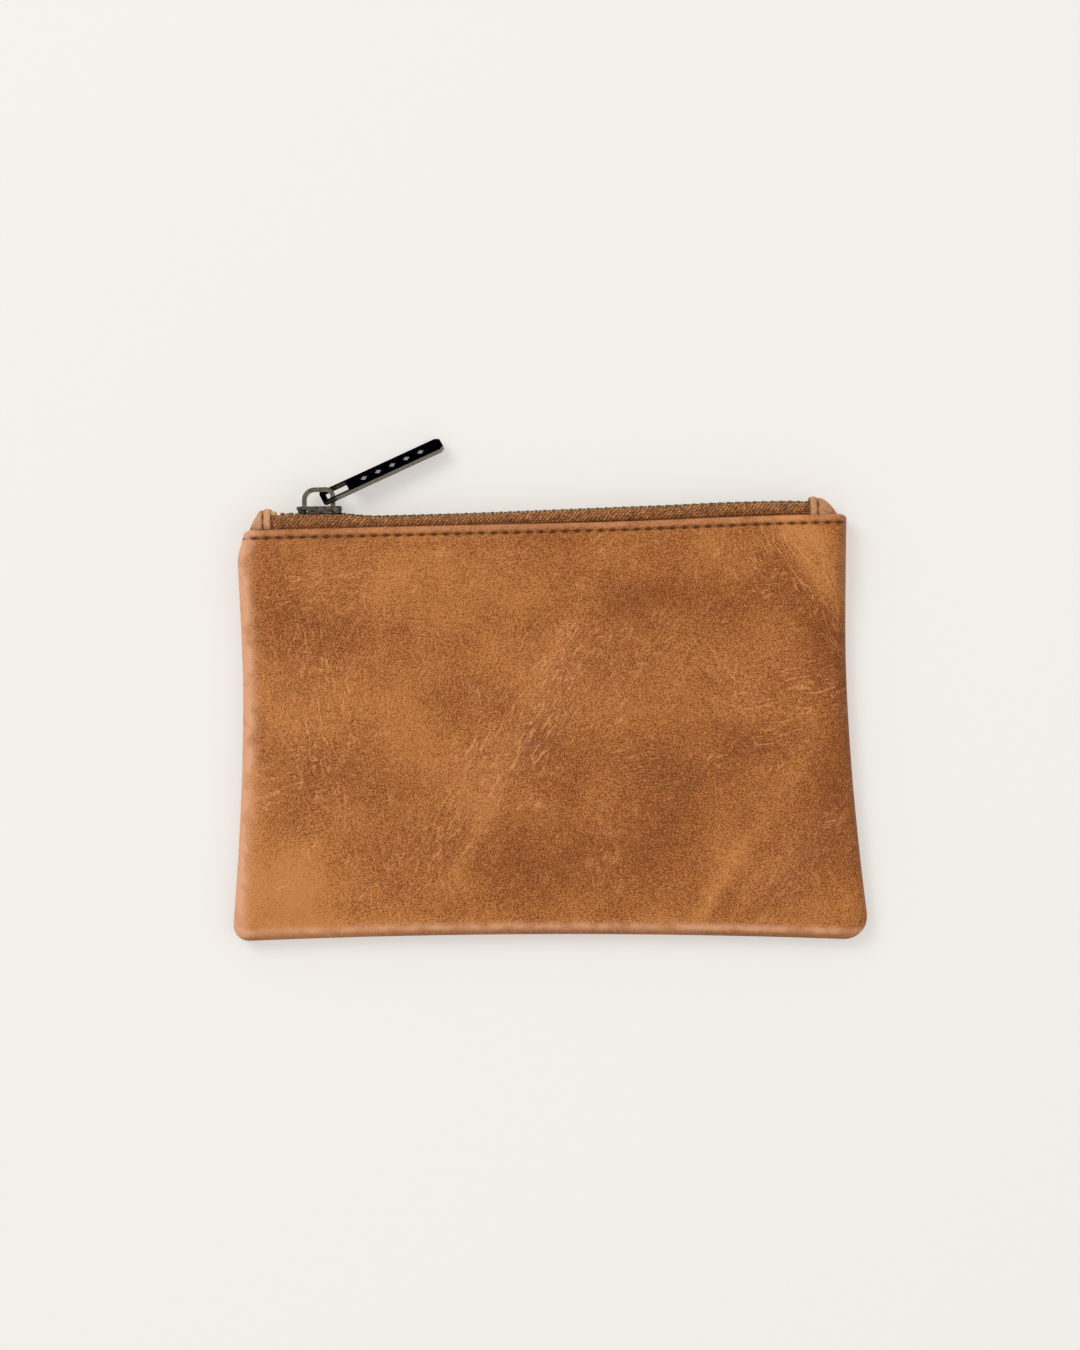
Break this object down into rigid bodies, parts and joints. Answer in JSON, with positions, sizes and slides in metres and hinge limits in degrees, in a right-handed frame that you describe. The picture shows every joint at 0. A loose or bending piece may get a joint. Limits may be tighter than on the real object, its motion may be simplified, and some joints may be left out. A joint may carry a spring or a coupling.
{
  "type": "zippered pouch",
  "caption": "Flat leather pouch, two panels seamed on three sides and lined, closed along the top by a metal-tooth zip with a slider, a bridge, a long flat puller and leather end tabs.",
  "frame": {"origin": "middle of the back panel's outer face, on the surface that the pouch lies on", "axes": "+X along the zip, +Y from the bottom seam towards the zip, +Z out of the front panel"},
  "size_m": [0.1708, 0.1378, 0.0102],
  "materials": {
    "leather": "pull-up, waxed",
    "leather_back": "pull-up, waxed",
    "tab_leather": "pull-up, waxed",
    "lining": "plain weave cotton",
    "zip_tape": "ribbed herringbone tape",
    "teeth": "antique brass",
    "stops": "antique brass",
    "gunmetal": "black nickel, polished",
    "thread": "waxed polyester thread"
  },
  "bodies": {
    "back_half": {"back_panel": "leather_back", "back_lining": "lining", "back_zip_tape": "zip_tape", "back_teeth": "teeth", "back_topstitch": "thread", "left_end_tab": "tab_leather", "right_end_tab": "tab_leather", "left_tab_stitch": "thread", "right_tab_stitch": "thread", "front_top_stop": "stops", "back_top_stop": "stops", "bottom_stop": "stops", "seam_thread": "thread"},
    "front_half": {"front_panel": "leather", "front_lining": "lining", "front_zip_tape": "zip_tape", "front_teeth": "teeth", "front_topstitch": "thread"},
    "slider": {"slider_body": "gunmetal", "slider_bridge": "gunmetal"},
    "puller": {"puller": "gunmetal"}
  },
  "joints": [
    {"name": "slider_slide", "type": "slide", "parent": "back_half", "child": "slider", "axis": [1, 0, 0], "range_m": [0, 0.124], "deforming": ["front_zip_tape", "back_zip_tape", "front_teeth", "back_teeth"]},
    {"name": "mouth_open", "type": "hinge", "parent": "back_half", "child": "front_half", "pos_m": [0, -0.0582, 0.0023], "axis": [1, 0, 0], "range_deg": [0, 12]},
    {"name": "puller_swing", "type": "hinge", "parent": "slider", "child": "puller", "pos_m": [-0.0582, 0.06475, 0.005], "axis": [0, 0, 1], "range_deg": [-21, 142]}
  ],
  "couplings": [
    {"joint": "mouth_open", "follows": "slider_slide", "rad_per_m": 1.688}
  ]
}
